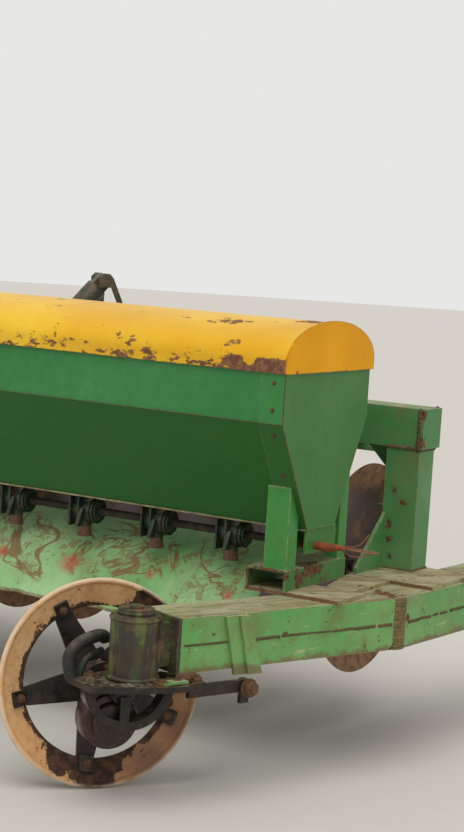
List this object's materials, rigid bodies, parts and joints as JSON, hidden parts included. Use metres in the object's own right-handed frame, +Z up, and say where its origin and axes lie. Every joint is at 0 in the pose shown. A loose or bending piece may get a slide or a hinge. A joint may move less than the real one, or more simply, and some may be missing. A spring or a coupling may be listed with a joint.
{
  "type": "one-way disc harrow with seed box",
  "caption": "Trailed one-way disc harrow: a disc gang under a main beam, a lidded seed box with feed cups, furrow and land wheels, kingpins, lift and drawbar tongue.",
  "frame": {"origin": "on the ground under the middle of the whole machine", "axes": "+Z up, X along the disc gang and seed box with the front disc towards +X, Y from the seed box towards the land wheel; the machine travels 52 degrees from +X towards +Y"},
  "size_m": [3.6173, 3.775, 1.473],
  "materials": {
    "beam_green": "worn green paint, dusty",
    "frame_green": "green paint",
    "box_green": "green paint",
    "apron_green": "faded green paint",
    "lid_yellow": "yellow paint with chips",
    "disc_steel": "soil-polished steel",
    "dark_iron": "dark oily iron",
    "wheel_cream": "worn cream and rust",
    "rusty_steel": "rusty",
    "cylinder_dark": "dark green paint",
    "rod_chrome": "polished"
  },
  "bodies": {
    "frame": {"front_beam_upper": "beam_green", "front_beam_lower": "beam_green", "rear_beam_upper": "beam_green", "rear_beam_lower": "beam_green", "front_kingpin_housing": "dark_iron", "rear_kingpin_housing": "dark_iron", "main_beam": "frame_green", "main_beam_end_plates": "frame_green", "post_right": "frame_green", "post_left": "frame_green", "post_gussets": "frame_green", "corner_gussets": "frame_green", "beam_top_plates_right": "beam_green", "beam_top_plates_left": "beam_green", "cross_channels": "box_green", "box_front_posts": "box_green", "box_rear_posts": "box_green", "seed_box_trough": "box_green", "seed_box_end_right": "box_green", "seed_box_end_left": "box_green", "box_hinge_ears": "box_green", "feed_cups": "dark_iron", "box_end_bracket": "box_green", "apron": "apron_green", "apron_rail": "box_green", "gang_hangers": "frame_green", "scraper_bar": "frame_green", "lift_outrigger": "frame_green", "lift_mast": "dark_iron", "tongue_clevis": "beam_green", "steering_anchor": "beam_green"},
    "gang": {"disc_1": "disc_steel", "disc_2": "disc_steel", "disc_3": "disc_steel", "disc_4": "disc_steel", "disc_5": "disc_steel", "disc_6": "disc_steel", "disc_7": "disc_steel", "disc_8": "disc_steel", "gang_axle": "dark_iron"},
    "feed_shaft": {"feed_shaft": "rusty_steel"},
    "lid": {"lid_sheet": "lid_yellow", "lid_caps": "lid_yellow", "lid_hinge_knuckles": "lid_yellow"},
    "front_knuckle": {"front_knuckle": "dark_iron"},
    "front_wheel": {"front_wheel_ring": "wheel_cream", "front_wheel_centre": "dark_iron"},
    "rear_knuckle": {"rear_knuckle": "dark_iron"},
    "rear_wheel": {"rear_wheel_ring": "wheel_cream", "rear_wheel_centre": "dark_iron"},
    "land_arm": {"land_wheel_arm": "dark_iron"},
    "land_wheel": {"land_wheel_rim": "wheel_cream", "land_wheel_centre": "dark_iron"},
    "lift_cylinder": {"lift_cylinder": "cylinder_dark"},
    "lift_rod": {"lift_rod": "rod_chrome"},
    "tongue": {"tongue": "beam_green", "hitch_eye": "dark_iron"},
    "parking_stand": {"parking_stand": "dark_iron"}
  },
  "joints": [
    {"name": "gang_spin", "type": "hinge", "parent": "frame", "child": "gang", "pos_m": [0.11731, -0.36053, 0.54], "axis": [1, 0, 0], "continuous": true},
    {"name": "feed_shaft_spin", "type": "hinge", "parent": "frame", "child": "feed_shaft", "pos_m": [0.11731, -0.98253, 0.706], "axis": [1, 0, 0], "continuous": true},
    {"name": "lid_open", "type": "hinge", "parent": "frame", "child": "lid", "pos_m": [0.06731, -0.67353, 1.256], "axis": [-1, 0, 0], "range_deg": [0, 100]},
    {"name": "front_steer", "type": "hinge", "parent": "frame", "child": "front_knuckle", "pos_m": [1.04431, -1.71753, 0.45], "axis": [0, 0, 1], "range_deg": [-4, 30]},
    {"name": "front_wheel_spin", "type": "hinge", "parent": "front_knuckle", "child": "front_wheel", "pos_m": [0.83167, -1.57551, 0.30597], "axis": [-0.7803, 0.6097, -0.1392], "continuous": true},
    {"name": "rear_steer", "type": "hinge", "parent": "frame", "child": "rear_knuckle", "pos_m": [-1.34769, -1.07053, 0.45], "axis": [0, 0, 1], "range_deg": [-20, 20]},
    {"name": "rear_wheel_spin", "type": "hinge", "parent": "rear_knuckle", "child": "rear_wheel", "pos_m": [-1.62251, -1.0081, 0.30597], "axis": [-0.7803, 0.6097, -0.1392], "continuous": true},
    {"name": "land_arm_lift", "type": "hinge", "parent": "frame", "child": "land_arm", "pos_m": [-0.14969, -0.19953, 1.19], "axis": [0.788, -0.6157, 0], "range_deg": [0, 22]},
    {"name": "land_wheel_spin", "type": "hinge", "parent": "land_arm", "child": "land_wheel", "pos_m": [0.00596, 0.38951, 0.33], "axis": [0.788, -0.6157, 0], "continuous": true},
    {"name": "lift_cylinder_swivel", "type": "hinge", "parent": "frame", "child": "lift_cylinder", "pos_m": [-0.11413, -0.30345, 1.445], "axis": [0.788, -0.6157, 0], "range_deg": [0, 9.97]},
    {"name": "lift_rod_slide", "type": "slide", "parent": "lift_cylinder", "child": "lift_rod", "axis": [-0.4046, -0.5178, -0.7538], "range_m": [0, 0.0786]},
    {"name": "tongue_pitch", "type": "hinge", "parent": "frame", "child": "tongue", "pos_m": [1.48486, 0.70431, 0.483], "axis": [0.9744, -0.225, 0], "range_deg": [-15, 25]},
    {"name": "stand_fold", "type": "hinge", "parent": "tongue", "child": "parking_stand", "pos_m": [1.7448, 1.50126, 0.483], "axis": [-0.9744, 0.225, 0], "range_deg": [0, 90]}
  ],
  "couplings": [
    {"joint": "lift_cylinder_swivel", "follows": "land_arm_lift", "ratio": 0.43052},
    {"joint": "lift_rod_slide", "follows": "land_arm_lift", "m_per_rad": 0.19942}
  ]
}
